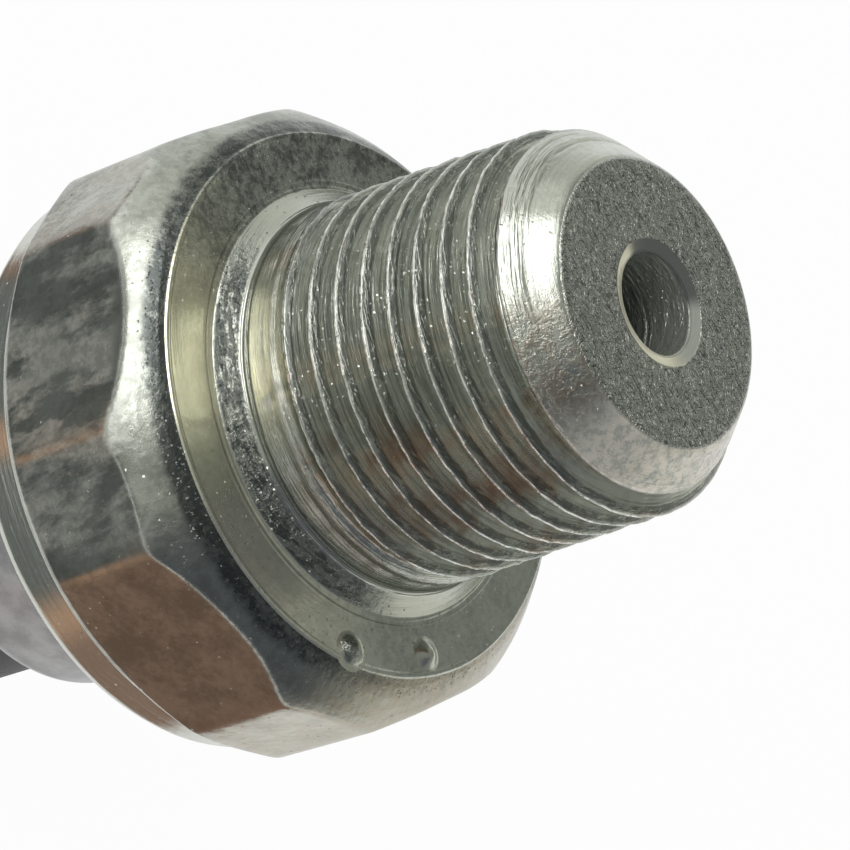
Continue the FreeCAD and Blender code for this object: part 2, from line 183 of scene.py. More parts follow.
def thread_rows(angles):
    """Rows along the helix, from its top down. A row's height is start height + pitch (turn + share +
    (angle - start angle) / full turn), held between the thread's ends. Its radius is the crest cone
    less a 60 degree vee that fades out towards the land, and the nose's chamfer cuts the last crests."""
    shares = np.array([0, 0.026, 0.045, 0.12, 0.2, 0.27, 0.34, 0.41, 0.455, 0.5, 0.545, 0.59, 0.66, 0.73, 0.8,
                       0.88, 0.955, 0.974])
    start_angle, start_height = CREST_PLACE
    turns = np.arange(-5, 11)
    path = (turns[::-1, None] + shares[None, ::-1]).reshape(-1, 1) + (angles - start_angle) / TAU
    height = np.clip(start_height + THREAD_PITCH * path, THREAD_LOW, THREAD_HIGH)
    share = ((height - start_height) / THREAD_PITCH - (angles - start_angle) / TAU) % 1
    off_crest = THREAD_PITCH * np.minimum(share, 1 - share)
    vee = np.clip((off_crest - CREST_FLAT / 2) * math.sqrt(3), 0, THREAD_DEPTH)
    crest = THREAD_END_RADIUS + THREAD_TAPER * (nose_end - height)
    crest = crest - LAND_STEP * (1 - eased(height, THREAD_LOW, THREAD_LOW + 0.5))
    wear = turned(np.stack([crest, height], axis=-1), angles)
    crest = crest + uneven(wear, 0.9, CREST_WEAR, 3) - CREST_WEAR
    thread = crest - vee * eased(height, THREAD_LOW, THREAD_FULL)
    chamfer = nose_chamfer_radius(height)
    return np.stack([np.minimum(thread, chamfer), height], axis=-1)


def nose_chamfer_radius(height):
    """Radius of the straight chamfer from the nose's flat end to the crest cone."""
    nose_radius = THREAD_END_RADIUS - NOSE_CHAMFER_DEPTH
    crest = THREAD_END_RADIUS + THREAD_TAPER * NOSE_CHAMFER_LENGTH
    return nose_radius + (crest - nose_radius) * (nose_end - height) / NOSE_CHAMFER_LENGTH


def port_body_points(angles):
    """The hollow, the bore, the nose, the thread, the flare, the crowned hexagon and the skirt as one
    closed outline, where the hexagon's radii and heights change with the angle."""
    columns = len(angles)
    nose_radius = THREAD_END_RADIUS - NOSE_CHAMFER_DEPTH
    land_radius = THREAD_END_RADIUS + THREAD_TAPER * (nose_end - THREAD_LOW) - LAND_STEP
    face_radius = hex_apothem - FACE_STEP
    facet = facet_radius(angles)
    hollow_and_nose = softened([
        (FOLD_EDGE_RADIUS, skirt_rear, 0),
        (FOLD_EDGE_RADIUS, FLANGE_REAR, 0.02),
        (SKIRT_BORE_RADIUS, FLANGE_REAR, 0.02),
        (SKIRT_BORE_RADIUS, LEDGE, 0.02),
        (POCKET_RADIUS, LEDGE, 0.02),
        (POCKET_RADIUS, CAPSULE_TOP, 0.02),
        (SEAL_RECESS_RADIUS, CAPSULE_TOP, 0.02),
        (SEAL_RECESS_RADIUS, WEB_REAR, 0.02),
        (BORE_RADIUS, WEB_REAR, 0.02),
        (BORE_RADIUS, nose_end - BORE_CHAMFER_DEPTH, 0.05),
        (RIM_RADIUS, nose_end, 0.06),
        (nose_radius - 0.9, nose_end, 0.05),
        (nose_radius, nose_end, 0.28),
        (nose_chamfer_radius(nose_end - 0.5), nose_end - 0.5, 0.05),
        (nose_chamfer_radius(THREAD_HIGH), THREAD_HIGH, 0),
    ], columns)
    reach = np.linspace(0, 1, 6)[1:, None] * (facet - face_radius)
    share = reach / (HEX_CORNER_RADIUS - face_radius)
    dome_heights = -DOME_HEIGHT * (share - DOME_CROWN * share * (1 - share))
    dome = [(face_radius + across, height, 0.06) for across, height in zip(reach[:-1], dome_heights[:-1])]
    rear_edge = -HEX_LENGTH - (HEX_CORNER_RADIUS - facet)
    skirt_top = -HEX_LENGTH - (HEX_CORNER_RADIUS - SKIRT_RADIUS)
    fold = np.radians(np.linspace(-15, -75, 5))
    land_to_skirt = softened([
        (land_radius, THREAD_LOW - 0.05, 0),
        (land_radius, LAND_LOW, 0.25),
        (land_radius + 0.02, LAND_LOW + 0.04, 0.03),
        (land_radius + 0.12, LAND_LOW - 0.02, 0.04),
        (land_radius + 0.18, LAND_LOW - 0.16, 0.05),
        (land_radius + FLARE_WIDTH - 0.08, 0.06, 0.05),
        (land_radius + FLARE_WIDTH + 0.02, 0.05, 0.03),
        (land_radius + FLARE_WIDTH + 0.1, 0, 0.03),
        (land_radius + FLARE_WIDTH + 0.2, 0, 0.03),
        (land_radius + FLARE_WIDTH + 0.28, 0.03, 0.03),
        (land_radius + FLARE_WIDTH + 0.36, 0, 0.03),
        (face_radius - 0.3, 0, 0.05),
        (face_radius - 0.2, 0.05, 0.05),
        (face_radius - 0.06, 0.05, 0.05),
        (face_radius + 0.02, -0.06, 0.05),
        *dome,
        (facet, dome_heights[-1], 0.22),
        (facet, dome_heights[-1] - 1.5, 0.4),
        (facet, rear_edge + 1.2, 0.4),
        (facet, rear_edge, 0.2),
        (SKIRT_RADIUS, skirt_top, 0.1),
        *[(SKIRT_RADIUS - SKIRT_FOLD * (1 - math.cos(a)), skirt_rear + SKIRT_FOLD * (1 + math.sin(a)), 0.1)
          for a in fold],
        (FOLD_EDGE_RADIUS, skirt_rear, 0),
    ], columns)
    outline = np.concatenate([hollow_and_nose, thread_rows(angles), land_to_skirt])
    points = turned(outline, angles)
    forged = eased(outline[..., 0], 12.0, 13.0)[..., None] * np.array([1, 1, 0])
    direction = points / np.linalg.norm(points[..., :2], axis=-1, keepdims=True)
    sunk = np.clip(uneven(points, 6, 0.03, 5), -FORGED_WAVES, FORGED_WAVES) - FORGED_WAVES
    return points + forged * direction * sunk[..., None]


class Term:
    """A shader value inside a formula: Python's operators add the Math nodes."""

    def __init__(self, nodes, socket):
        self.nodes = nodes
        self.socket = socket

    def maths(self, operation, *others):
        return self.nodes.node("ShaderNodeMath", {"operation": operation}, [self, *others])

    def __add__(self, other):
        return self.maths("ADD", other)

    def __sub__(self, other):
        return self.maths("SUBTRACT", other)

    def __rsub__(self, other):
        return self * -1 + other

    def __mul__(self, other):
        return self.maths("MULTIPLY", other)

    def __truediv__(self, other):
        return self.maths("DIVIDE", other)

    def __pow__(self, other):
        return self.maths("POWER", other)

    __radd__ = __add__
    __rmul__ = __mul__

    def step(self, low, high):
        """Smoothly from 0 at low to 1 at high, or the other way where low is the larger."""
        inputs = {"Value": self, "From Min": low, "From Max": high}
        return self.nodes.node("ShaderNodeMapRange", {"interpolation_type": "SMOOTHSTEP"}, inputs)

    def band(self, low, high, soft):
        """1 between low and high and 0 outside, with soft edges."""
        return self.step(low - soft, low + soft) * self.step(high + soft, high - soft)


class Nodes:
    """The nodes of one tree."""

    def __init__(self, tree):
        self.tree = tree

    def node(self, kind, settings, inputs, output=0):
        """Adds a node, sets its settings first, then gives its sockets numbers, colours or links. A
        list of outputs gives a list of terms."""
        made = self.tree.nodes.new(kind)
        for setting, value in settings.items():
            setattr(made, setting, value)
        for key, value in inputs.items() if isinstance(inputs, dict) else enumerate(inputs):
            self.plug(made.inputs[key], value)
        if isinstance(output, list):
            return [Term(self, made.outputs[key]) for key in output]
        return Term(self, made.outputs[output])

    def plug(self, socket, value):
        """Links a term to a socket, or writes a number or a colour into it."""
        if isinstance(value, Term):
            self.tree.links.new(value.socket, socket)
        elif socket.type == "RGBA":
            socket.default_value = (*value, 1)
        else:
            socket.default_value = value

    def vector_maths(self, operation, first, second, output=0):
        return self.node("ShaderNodeVectorMath", {"operation": operation}, [first, second], output)

    def parts(self, vector):
        """The three numbers of a vector."""
        return [self.node("ShaderNodeSeparateXYZ", {}, {0: vector}, axis) for axis in "XYZ"]

    def vector(self, x, y, z):
        return self.node("ShaderNodeCombineXYZ", {}, [x, y, z])

    def mix(self, factor, first, second):
        """A colour between two colours."""
        return self.node("ShaderNodeMix", {"data_type": "RGBA"}, {0: factor, 6: first, 7: second}, 2)


class Finish(Nodes):
    """One material: a Principled shader and the nodes that feed it."""

    def __init__(self, name, **fixed):
        self.material = bpy.data.materials.new(name)
        self.material.use_nodes = True
        super().__init__(self.material.node_tree)
        self.shader = self.tree.nodes["Principled BSDF"]
        self.result = self.tree.nodes["Material Output"].inputs[0]
        for socket, value in fixed.items():
            self.feed(socket.replace("_", " "), value)
        inputs = {"Vector": self.node("ShaderNodeTexCoord", {}, {}, "Object"), "Scale": 1 / MM}
        self.place = self.node("ShaderNodeVectorMath", {"operation": "SCALE"}, inputs)

    def feed(self, socket, value):
        self.plug(self.shader.inputs[socket], value)

    def noise(self, size, where=None, detail=3, roughness=0.55, stretch=None):
        """Cloudy noise from 0 to 1, with features of a size in millimetres."""
        where = self.place if where is None else where
        if stretch:
            where = self.vector_maths("MULTIPLY", where, stretch)
        inputs = {"Vector": where, "Scale": 1 / size, "Detail": detail, "Roughness": roughness}
        return self.node("ShaderNodeTexNoise", {}, inputs)

    def crystals(self, size):
        """Small flat crystals, each tilted at random, as a height in millimetres and a random number
        for each crystal: height = (place - crystal's middle) . (random vector - 1/2)."""
        inputs = {"Vector": self.place, "Scale": 1 / size}
        random, middle = self.node("ShaderNodeTexVoronoi", {}, inputs, ["Color", "Position"])
        tilt = self.vector_maths("SUBTRACT", random, (0.5, 0.5, 0.5))
        offset = self.vector_maths("SUBTRACT", self.place, middle)
        return self.vector_maths("DOT_PRODUCT", tilt, offset, "Value"), self.parts(random)[0]

    def scratches(self, length, width):
        """Short straight scratches across the axis in three directions, from 0 to 1: the highest of
        three noises, each turned by a third of half a turn and stretched along its own X."""
        x, y = self.parts(self.place)[:2]
        highest = None
        for turn in (0.3, 0.3 + TAU / 6, 0.3 + TAU / 3):
            along = x * math.cos(turn) + y * math.sin(turn)
            across = y * math.cos(turn) - x * math.sin(turn)
            drawn = self.noise(1, self.vector(along / length, across / width, turn * 9), 1, 0.5)
            highest = drawn if highest is None else highest.maths("MAXIMUM", drawn)
        return highest.step(0.52, 0.72)

    def bump(self, height):
        """Bumps by a height in millimetres."""
        return self.node("ShaderNodeBump", {}, {"Height": height, "Strength": 1.0, "Distance": MM})


CLEAN_ZINC = (0.56, 0.58, 0.52)
DULL_AND_SHADE_ZINC = (0.1, 0.11, 0.105)
GROOVE_ZINC = (0.27, 0.3, 0.27)
PAINTED_SHEEN_ZINC = (0.78, 0.75, 0.56)
CREST_ZINC = (0.84, 0.84, 0.79)
BROWN_STAIN = (0.36, 0.25, 0.18)
PALE_SIDE_ZINC = (0.8, 0.76, 0.66)
FORGED_ZINC = (0.46, 0.48, 0.43)
CLOUDED_ZINC = (0.4, 0.41, 0.36)
SMEAR_REFLECTION_ZINC = (0.72, 0.74, 0.68)
EARTHY_ZINC = (0.48, 0.44, 0.35)
CRYSTAL_SIZE = 0.08
FLAKE_SIZE = 0.4
chamfer_foot = nose_end - 2.3
PIPS = ((9.51, -6.67), (11.07, -2.12))
PIP_RADIUS = 0.95
PIP_HEIGHT = 0.45
PIP_SINK = 0.01


def picked(random, share):
    """1 on about that share of the crystals, those with the highest random numbers."""
    return random.step(0.99 - share, 1 - share)


def turned_zinc():
    """Zinc over turned steel. Fine tool lines follow the thread, torn metal lies beside its crests,
    and the nose's end is scratched all ways. A pale painted sheen lies on one side of the hexagon's
    face, on the land and on one side of the rim, painted shade darkens the rim's other side and the
    bore, and a painted reflection makes the chamfer paler towards +X."""
    finish = Finish("turned_zinc", Anisotropic=0.6, Anisotropic_Rotation=0.25)
    x, y, z = finish.parts(finish.place)
    radius = (x * x + y * y) ** 0.5
    angle = y.maths("ARCTAN2", x)
    x_round, y_round = x / radius, y / radius
    start_angle, start_height = CREST_PLACE
    climb = z - x.maths("ARCTAN2", y * -1) * (THREAD_PITCH / TAU)
    share = ((z - start_height) / THREAD_PITCH - (angle - start_angle) / TAU + 0.5).maths("FRACT") - 0.5

    # Where a place lies on the body, each from 0 to 1.
    in_bore = radius.step(BORE_RADIUS + 0.12, BORE_RADIUS + 0.04)
    within_rim = radius.step(RIM_RADIUS + 0.05, RIM_RADIUS - 0.05)
    on_rim = z.step(nose_end - 0.3, nose_end - 0.2) * within_rim
    on_end = z.step(nose_end - 0.1, nose_end - 0.02) * (1 - within_rim)
    on_chamfer = z.step(chamfer_foot, chamfer_foot + 0.4) * radius.step(5.0, 6.0) * (1 - on_end)
    low_chamfer = on_chamfer * radius.step(7.0, 7.5)
    on_thread = z.band(THREAD_FULL - 1.8, chamfer_foot, 0.3)
    on_crest = share.band(-0.035, 0.035, 0.012) * on_thread
    beside_crest = share.band(0.06, 0.17, 0.025) * on_thread
    on_land = z.band(LAND_LOW + 0.1, THREAD_LOW + 0.7, 0.2)
    on_flare = z.band(0.12, LAND_LOW - 0.14, 0.06)
    on_face = z.band(-0.3, 0.08, 0.03)
    low_face = on_face * angle.band(math.radians(-85), math.radians(-30), 0.2)
    one_side = angle.band(math.radians(-150), math.radians(-92), 0.35)

    # Patterns: lines of three widths along the helix, clouds, flakes, crystals and scratches.
    fine = finish.noise(1, finish.vector(x_round * 1.5 + radius * 6, y_round * 1.5, climb * 9), 4, 0.75)
    scores = finish.noise(1, finish.vector(x_round * 2 + radius * 2, y_round * 2, climb * 3), 3, 0.65)
    streaks = finish.noise(1, finish.vector(x_round * 7 + radius * 3, y_round * 7, climb * 5), 3, 0.7)
    clouds = finish.noise(2.4, detail=3, roughness=0.65)
    flakes = finish.noise(FLAKE_SIZE, detail=4, roughness=0.75)
    mottled = (flakes * 0.55 + clouds * 0.45).step(0.41, 0.59)
    tilt, random = finish.crystals(CRYSTAL_SIZE)
    hairs = finish.scratches(0.42, 0.1)

    # Wear and dirt, and painted light.
    # Painted sheen: a pale yellow colour on one side of the face, on the land and on one side of the rim,
    # where the highlight falls.
    rub_and_sheen = one_side * (on_face + on_land * 0.3) + low_face * 0.35 + on_rim * y_round.step(0.4, -0.3)
    torn = beside_crest * (0.35 + 0.65 * streaks.step(0.4, 0.54))
    grainy = on_flare * y_round.step(-0.35, -0.7)
    grainy = grainy * (0.6 + 0.7 * (streaks * 0.6 + flakes * 0.4).step(0.44, 0.54))
    grubby = on_chamfer * x_round.band(-0.2, 0.45, 0.2) * mottled
    # Painted reflection: the chamfer is made paler and less metallic towards +X, in patches.
    pale_side = on_chamfer * x_round.step(0.25, 0.7)
    pitted = torn + grainy + (on_face * 0.4 * (1 - rub_and_sheen) + on_chamfer * 0.15) * mottled
    pitted = pitted + on_face * x_round.step(-0.45, -0.85) * (0.35 + 0.55 * mottled)
    brown = angle.band(math.radians(-84), math.radians(-14), 0.3) * clouds.step(0.48, 0.66) * on_thread
    worn_end = on_end * (0.3 + 0.45 * hairs + 0.35 * random - 0.25 * flakes.step(0.5, 0.62))
    # Painted shade: one side of the bore's rim is darkened.
    shaded_rim = on_rim * (y_round - x_round).step(0.55, 0.95)

    in_lines = fine.step(0.52, 0.42) * (0.1 + 0.6 * on_thread + 0.4 * on_land)
    colour = finish.mix(in_lines, CLEAN_ZINC, GROOVE_ZINC)
    colour = finish.mix(rub_and_sheen * 0.85, colour, PAINTED_SHEEN_ZINC)
    colour = finish.mix(brown * 0.65 + grubby * 0.55, colour, BROWN_STAIN)
    colour = finish.mix(pale_side * flakes.step(0.6, 0.45), colour, PALE_SIDE_ZINC)
    # Dull pits and the worn end, and painted shade on one side of the rim and inside the bore.
    dull_and_shade = pitted * 0.7 + worn_end + shaded_rim * 0.85 + in_bore * 0.35
    colour = finish.mix(dull_and_shade, colour, DULL_AND_SHADE_ZINC)
    finish.feed("Base Color", finish.mix(on_crest * flakes.step(0.45, 0.53), colour, CREST_ZINC))
    # Less metal where the sheen and the pale side are painted, and on the rim and in the bore, so that
    # diffuse light makes them paler.
    less_metal = 0.1 * rub_and_sheen + 0.45 * on_rim + 0.4 * in_bore + 0.55 * pale_side + 0.15 * low_face
    finish.feed("Metallic", 1 - less_metal)
    haze = 0.03 * mottled + 0.12 * pitted + 0.1 * grubby + 0.05 * on_chamfer
    finish.feed("Roughness", 0.17 + haze - 0.03 * rub_and_sheen)

    specks = picked(random, 0.1 * pitted + 0.02 * on_thread + 0.15 * on_end + 0.08 * in_bore)
    grains = tilt * ((0.8 - 0.3 * on_thread) * specks + 0.28 * on_end + 0.25 * grainy)
    cut = fine * (0.006 + 0.014 * on_thread + 0.02 * on_land)
    cut = cut + scores * (0.02 + 0.025 * on_thread + 0.1 * low_chamfer)
    rough = flakes * (0.006 + 0.03 * (torn + grubby + pale_side) + 0.02 * (grainy + pitted) + 0.07 * on_end)
    worn = rough + hairs * on_end * 0.06
    finish.feed("Normal", finish.bump(grains + (cut + worn) * (1 - 0.6 * on_crest) + scores * in_bore * 0.1))
    return finish.material


def forged_zinc():
    """Zinc over the forged hexagon: satin, with painted shade in a mottled dark band round the inside of
    the crown, and a dull skin on the flats. They have pale smears on one side, rougher patches with a
    painted reflection, and an earthy tone towards +X."""
    finish = Finish("forged_zinc", Metallic=1.0)
    x, y, z = finish.parts(finish.place)
    radius = (x * x + y * y) ** 0.5
    angle = y.maths("ARCTAN2", x)
    on_flat = z.step(-1.3, -2.3)
    inner_crown = radius.step(13.15, 12.7) * (1 - on_flat)
    clouds = finish.noise(2.2, detail=3, roughness=0.6)
    flakes = finish.noise(FLAKE_SIZE, detail=4, roughness=0.75)
    mottled = (flakes * 0.5 + clouds * 0.5).step(0.4, 0.6)
    smears = finish.noise(2.6, finish.vector(x, y, z + (x + y) * 0.8), 6, 0.66, (1.0, 1.0, 0.45))
    # Pale smears on one side of the flats: rougher patches, with a painted reflection in their paler colour.
    smear_and_reflection = smears.step(0.46, 0.58) * on_flat * angle.step(math.radians(-75), math.radians(-88))
    tilt, random = finish.crystals(CRYSTAL_SIZE)
    colour = finish.mix(clouds.step(0.4, 0.7), FORGED_ZINC, CLOUDED_ZINC)
    # Painted shade: a mottled dark band round the inside of the crown, lighter towards +X.
    dull_and_shade = inner_crown * (0.65 + 0.3 * mottled) * (1 - 0.45 * x.step(7, 11))
    colour = finish.mix(dull_and_shade + 0.35 * mottled * (1 - smear_and_reflection), colour, DULL_AND_SHADE_ZINC)
    colour = finish.mix(smear_and_reflection * (0.4 + 0.6 * flakes.step(0.4, 0.6)), colour, SMEAR_REFLECTION_ZINC)
    earthy = x.step(9.5, 12) * (0.35 + 0.5 * flakes.step(0.42, 0.56))
    finish.feed("Base Color", finish.mix(earthy, colour, EARTHY_ZINC))
    finish.feed("Roughness", 0.25 + 0.05 * mottled + 0.2 * smear_and_reflection - 0.05 * on_flat)
    grains = tilt * picked(random, 0.1 * inner_crown * mottled) * 0.7
    finish.feed("Normal", finish.bump(grains + flakes * (0.014 + 0.02 * inner_crown) + clouds * 0.06))
    return finish.material


def pip_points(middle, angles):
    """A low round pip, struck up from the hexagon's face: height = full height cos(share)^2, where
    the share runs from 0 in the middle to a quarter turn at its foot, which sinks in a little."""
    share = np.linspace(0, 1, 14)[:, None]
    lift = PIP_HEIGHT * np.cos(share * TAU / 4) ** 2 - PIP_SINK * share
    return turned(np.stack([PIP_RADIUS * share, lift], axis=-1), angles) + np.array([*middle, 0])


turned_finish = turned_zinc()
port_body = piece_from_grid("plated_body", port_body_points(body_angles))
port_body.data.materials.append(turned_finish)
port_body.data.materials.append(forged_zinc())
centres = np.empty(3 * len(port_body.data.polygons))
port_body.data.polygons.foreach_get("center", centres)
x, y, z = centres.reshape(-1, 3).T / MM
on_hexagon = (np.hypot(x, y) > hex_apothem - FACE_STEP) & (z > -HEX_LENGTH - 1)
port_body.data.polygons.foreach_set("material_index", on_hexagon.astype(np.int32))
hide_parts("port_body")
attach(port_body, "root")
for number, middle in enumerate(PIPS, 1):
    pip = piece_from_grid("pip_" + str(number), pip_points(middle, full_turn(40)))
    pip.data.materials.append(turned_finish)
    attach(pip, "root")

# Sensing capsule: two plates of white alumina joined by a ring of fused glass. It rests on a rubber
# ring that seals the oil in, and its four tinned pins carry the signal to the board.
def dress(material, *nodes):
    """Gives CAD pieces their finish."""
    for name in nodes:
        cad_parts[name].material_slots[0].material = material


def sintered_alumina():
    """White ceramic: matt, with a fine sugary grain and faint grey clouds from firing."""
    finish = Finish("sintered_alumina")
    grain = finish.noise(0.09, detail=3)
    clouds = finish.noise(1.8, detail=4)
    finish.feed("Base Color", finish.mix(clouds.step(0.4, 0.75), (0.86, 0.85, 0.81), (0.74, 0.73, 0.7)))
    finish.feed("Roughness", 0.42 + 0.2 * grain)
    finish.feed("Normal", finish.bump(grain * 0.008))
    return finish.material


def fused_glass():
    """Grey glass frit with small bubbles."""
    finish = Finish("fused_glass", Coat_Weight=0.4)
    bubbles = finish.noise(0.12, detail=2).step(0.6, 0.72)
    finish.feed("Base Color", finish.mix(bubbles, (0.2, 0.23, 0.27), (0.42, 0.45, 0.48)))
    finish.feed("Roughness", 0.18 + 0.2 * bubbles)
    finish.feed("Normal", finish.bump(bubbles * 0.01))
    return finish.material


def tinned_wire():
    """Bright tin over wire, dull in patches, with lines from the drawing die."""
    finish = Finish("tinned_wire", Metallic=1.0)
    patches = finish.noise(0.6, detail=4)
    lines = finish.noise(0.2, detail=3, stretch=(2.0, 2.0, 0.1))
    finish.feed("Base Color", finish.mix(patches.step(0.4, 0.7), (0.76, 0.75, 0.71), (0.58, 0.57, 0.54)))
    finish.feed("Roughness", 0.24 + 0.2 * patches)
    finish.feed("Normal", finish.bump(lines * 0.004))
    return finish.material


def black_rubber():
    """Matt moulded rubber with a bloom of paler dust."""
    finish = Finish("black_rubber")
    bloom = finish.noise(1.1, detail=5, roughness=0.65)
    grain = finish.noise(0.07, detail=2)
    finish.feed("Base Color", finish.mix(bloom.step(0.45, 0.75), (0.018, 0.018, 0.018), (0.05, 0.05, 0.048)))
    finish.feed("Roughness", 0.68 + 0.2 * bloom)
    finish.feed("Normal", finish.bump(grain * 0.008))
    return finish.material


rubber = black_rubber()
dress(rubber, "pressure_seal")
dress(sintered_alumina(), "sensor_diaphragm", "sensor_substrate")
dress(fused_glass(), "bond_ring")
dress(tinned_wire(), "sense_pin_1", "sense_pin_2", "sense_pin_3", "sense_pin_4")

# Stack behind the capsule: a stamped steel washer that carries the fold's force, a rubber gasket
# under the shell's flange, and a natural plastic ring that holds the board off the capsule.
def stamped_steel():
    """Rolled sheet: straight rolling lines one way and a few darker patches of oil."""
    finish = Finish("stamped_steel", Metallic=1.0)
    lines = finish.noise(0.35, detail=4, stretch=(0.08, 3.0, 3.0))
    oil = finish.noise(2.2, detail=4).step(0.5, 0.75)
    finish.feed("Base Color", finish.mix(oil, (0.56, 0.56, 0.57), (0.38, 0.38, 0.39)))
    finish.feed("Roughness", 0.3 + 0.16 * lines + 0.08 * oil)
    finish.feed("Normal", finish.bump(lines * 0.006))
    return finish.material


def natural_plastic():
    """Unpainted moulded plastic, cream and a little cloudy, with a fine eroded texture."""
    finish = Finish("natural_plastic")
    clouds = finish.noise(1.5, detail=3)
    grain = finish.noise(0.08, detail=2)
    finish.feed("Base Color", finish.mix(clouds, (0.72, 0.69, 0.6), (0.8, 0.78, 0.71)))
    finish.feed("Roughness", 0.42 + 0.15 * grain)
    finish.feed("Normal", finish.bump(grain * 0.006))
    return finish.material


dress(stamped_steel(), "backing_washer")
dress(rubber, "flange_gasket")
dress(natural_plastic(), "spacer_ring")

# Circuit board: green solder mask over glass laminate, with one black chip, three brown chip
# capacitors and two black chip resistors on it.
def green_laminate():
    """Solder mask over woven glass: the weave shows as a faint checker of bumps, sin 9x sin 9y."""
    finish = Finish("green_laminate", Coat_Weight=0.3)
    x, y = finish.parts(finish.place)[:2]
    weave = (x * 9).maths("SINE") * (y * 9).maths("SINE")
    clouds = finish.noise(1.4, detail=3)
    finish.feed("Base Color", finish.mix(clouds, (0.02, 0.16, 0.06), (0.035, 0.22, 0.09)))
    finish.feed("Roughness", 0.3 + 0.1 * clouds)
    finish.feed("Normal", finish.bump(weave * 0.004 + clouds * 0.004))
    return finish.material


def chip_resin():
    """Black moulding resin filled with fine silica."""
    finish = Finish("chip_resin")
    grain = finish.noise(0.05, detail=2)
    finish.feed("Base Color", finish.mix(grain.step(0.55, 0.75), (0.02, 0.02, 0.022), (0.06, 0.06, 0.062)))
    finish.feed("Roughness", 0.45 + 0.2 * grain)
    finish.feed("Normal", finish.bump(grain * 0.006))
    return finish.material


def capacitor_ceramic():
    """Fired brown ceramic with a fine paler grain."""
    finish = Finish("capacitor_ceramic")
    grain = finish.noise(0.08, detail=3)
    finish.feed("Base Color", finish.mix(grain, (0.4, 0.3, 0.2), (0.5, 0.41, 0.3)))
    finish.feed("Roughness", 0.4 + 0.15 * grain)
    finish.feed("Normal", finish.bump(grain * 0.005))
    return finish.material


resin = chip_resin()
dress(green_laminate(), "circuit_board")
dress(resin, "signal_chip", "resistor_1", "resistor_2")
dress(capacitor_ceramic(), "capacitor_1", "capacitor_2", "capacitor_3")

# Connector shell: drawn from thin sheet with a flange that the skirt holds, and plated bright.
# Its rear end is rolled in over the insert's shoulder.
SHELL_RADIUS = 8.4
SHELL_WALL = 0.6
SHELL_BEND = 0.8
SHELL_ROUND = 1.2
SHELL_LIP_RADIUS = 6.95
flange_low, flange_high = [np.array(corner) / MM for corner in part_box("connector_shell")]


def shell_points(angles):
    """The tube's outline, closed: flange, bend, tube, rolled end and the bore back to the flange."""
    rear = flange_low[2]
    front = flange_high[2]
    rim = flange_high[0]
    roll = np.radians(np.linspace(-10, -80, 6))
    bore = SHELL_RADIUS - SHELL_WALL
    return turned(softened([
        (rim, front, 0),
        (rim, FLANGE_REAR, 0.08),
        (SHELL_RADIUS, FLANGE_REAR, SHELL_BEND),
        *[(SHELL_RADIUS - SHELL_ROUND * (1 - math.cos(a)), rear + SHELL_ROUND * (1 + math.sin(a)), 0.1)
          for a in roll],
        (SHELL_LIP_RADIUS, rear, 0.1),
        (SHELL_LIP_RADIUS, rear + SHELL_WALL, 0.1),
        (bore, rear + SHELL_WALL, 0.4),
        (bore, front, 0.9),
        (rim, front, 0),
    ], len(angles)), angles)


def bright_plating():
    """Smooth nickel, a little cloudy, with faint polishing lines round the tube."""
    finish = Finish("bright_plating", Metallic=1.0)
    haze = finish.noise(1.6, detail=4)
    lines = finish.noise(0.5, detail=4, stretch=(0.1, 0.1, 4.0))
    finish.feed("Base Color", finish.mix(haze.step(0.35, 0.7), (0.37, 0.37, 0.37), (0.26, 0.26, 0.26)))
    finish.feed("Roughness", 0.22 + 0.1 * haze)
    finish.feed("Normal", finish.bump(lines * 0.004 + haze * 0.01))
    return finish.material


connector_shell = piece_from_grid("drawn_shell", shell_points(full_turn(120)))
connector_shell.data.materials.append(bright_plating())
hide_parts("connector_shell")
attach(connector_shell, "root")

# Connector insert: black glass-filled plastic, moulded in one piece and pushed into the shell with a
# rubber ring in its groove. Its neck has the latch ramp, and its socket has the rib that keys the plug.
INSERT_RADIUS = 7.65
CHAMBER_WALL = 1.05
BOARD_REAR = -12.3
CHAMBER_FLOOR = -15.4
GROOVE_HIGH = -16.6
GROOVE_LOW = -18.2
GROOVE_RADIUS = 6.6
LIP_SEAT = -19.8
INSERT_BEVEL = 0.6
NECK_RADIUS = 6.8
SOCKET_RADIUS = 5.6
SOCKET_FLOOR = -20.6
MOUTH_CHAMFER = 0.4
LATCH_CREST = 7.9
LATCH_HALF_WIDTH = 2.0
LATCH_START = -24.5
LATCH_TOP = 0.5
LATCH_LENGTH = 3.5
KEY_HALF_WIDTH = 0.6
KEY_CREST = 4.9
KEY_SETBACK = 2.4
DRAFT = 0.06
insert_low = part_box("connector_insert")[0][2] / MM
latch_half_angle = math.asin(LATCH_HALF_WIDTH / NECK_RADIUS)
key_half_angle = math.asin(KEY_HALF_WIDTH / SOCKET_RADIUS)


def angles_with_edges(columns, *edges):
    """One turn of angles, with four extra columns close round each edge, so that it stays sharp."""
    close = np.array([edge + side for edge in edges for side in (-0.012, -0.004, 0.004, 0.012)])
    inner = np.sort(np.concatenate([full_turn(columns)[1:-1], close % TAU]))
    return np.concatenate([[0.0], inner, [TAU]])


